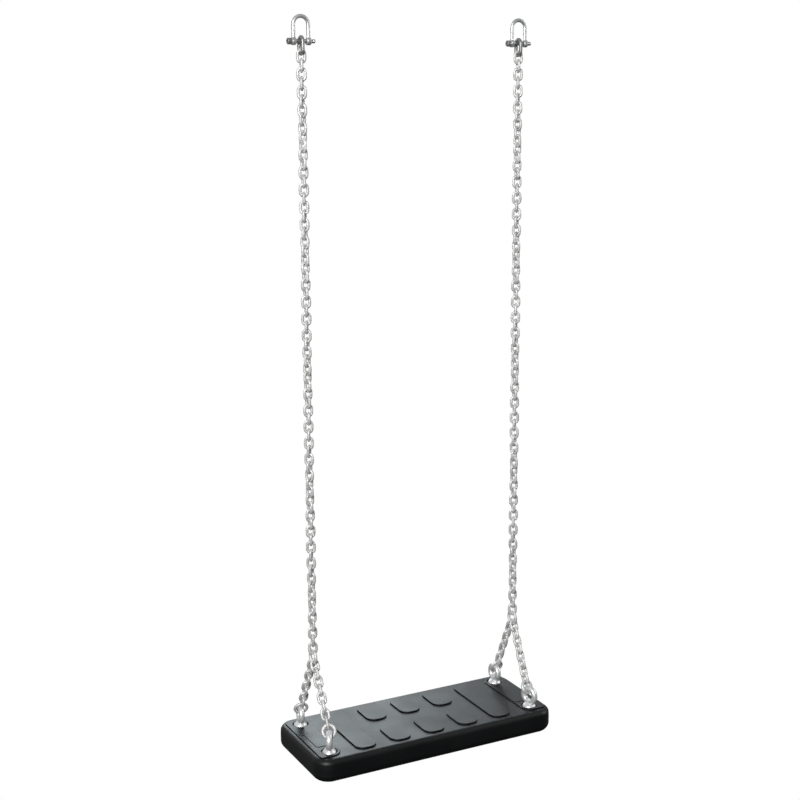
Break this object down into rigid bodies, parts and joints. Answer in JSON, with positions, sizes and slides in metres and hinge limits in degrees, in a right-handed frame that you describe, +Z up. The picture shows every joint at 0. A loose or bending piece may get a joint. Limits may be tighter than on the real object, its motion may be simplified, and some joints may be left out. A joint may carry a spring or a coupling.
{
  "type": "chain-hung flat playground swing",
  "caption": "Flat moulded-rubber swing seat held at four eye bolts by two short-link chains that fork at rings, each hung from a D-shackle.",
  "frame": {"origin": "midway between the two shackles, level with the inside top of their bows, where the hangers bear", "axes": "+X along the seat from the left chain to the right chain, +Y towards the seat's rear edge, +Z up along the chains"},
  "size_m": [0.44, 0.18, 1.1822],
  "materials": {
    "galvanised_steel": "hot-dip galvanised, matt silver grey",
    "dark_steel": "dark, weathered zinc",
    "bright_zinc": "bright zinc plate over a forged surface",
    "plate_steel": "plain rolled",
    "seat_rubber": "moulded black rubber, satin with a fine grain"
  },
  "bodies": {
    "shackles": {"left_shackle_bow": "galvanised_steel", "left_shackle_pin": "dark_steel", "right_shackle_bow": "galvanised_steel", "right_shackle_pin": "dark_steel"},
    "left_top_link": {"left_top_link": "dark_steel"},
    "right_top_link": {"right_top_link": "dark_steel"},
    "left_chain": {"left_main_chain": "galvanised_steel"},
    "right_chain": {"right_main_chain": "galvanised_steel"},
    "left_ring": {"left_junction_ring": "galvanised_steel"},
    "right_ring": {"right_junction_ring": "galvanised_steel"},
    "seat": {"front_left_branch_chain": "galvanised_steel", "front_left_eye_ring": "galvanised_steel", "front_left_eye_bolt": "bright_zinc", "rear_left_branch_chain": "galvanised_steel", "rear_left_eye_ring": "galvanised_steel", "rear_left_eye_bolt": "bright_zinc", "front_right_branch_chain": "galvanised_steel", "front_right_eye_ring": "galvanised_steel", "front_right_eye_bolt": "bright_zinc", "rear_right_branch_chain": "galvanised_steel", "rear_right_eye_ring": "galvanised_steel", "rear_right_eye_bolt": "bright_zinc", "eye_bolt_washers": "bright_zinc", "eye_bolt_nuts": "bright_zinc", "seat_reinforcing_plate": "plate_steel", "seat_body": "seat_rubber"}
  },
  "joints": [
    {"name": "swing", "type": "hinge", "parent": "shackles", "child": "left_top_link", "pos_m": [-0.188, 0, -0.033], "axis": [1, 0, 0], "range_deg": [-60, 60]},
    {"name": "swing_right", "type": "hinge", "parent": "shackles", "child": "right_top_link", "pos_m": [0.188, 0, -0.033], "axis": [1, 0, 0], "range_deg": [-60, 60]},
    {"name": "sway", "type": "hinge", "parent": "left_top_link", "child": "left_chain", "pos_m": [-0.188, 0, -0.0511], "axis": [0, 1, 0], "range_deg": [-12, 12]},
    {"name": "sway_right", "type": "hinge", "parent": "right_top_link", "child": "right_chain", "pos_m": [0.188, 0, -0.0511], "axis": [0, 1, 0], "range_deg": [-12, 12]},
    {"name": "level_left", "type": "hinge", "parent": "left_chain", "child": "left_ring", "pos_m": [-0.188, 0, -0.98418], "axis": [0, 1, 0], "range_deg": [-12, 12]},
    {"name": "level_right", "type": "hinge", "parent": "right_chain", "child": "right_ring", "pos_m": [0.188, 0, -0.98418], "axis": [0, 1, 0], "range_deg": [-12, 12]},
    {"name": "seat_tilt", "type": "hinge", "parent": "left_ring", "child": "seat", "pos_m": [-0.188, 0, -0.99518], "axis": [1, 0, 0], "range_deg": [-25, 25]}
  ],
  "couplings": [
    {"joint": "swing_right", "follows": "swing", "ratio": 1},
    {"joint": "sway_right", "follows": "sway", "ratio": 1},
    {"joint": "level_left", "follows": "sway", "ratio": -1},
    {"joint": "level_right", "follows": "sway", "ratio": -1}
  ]
}
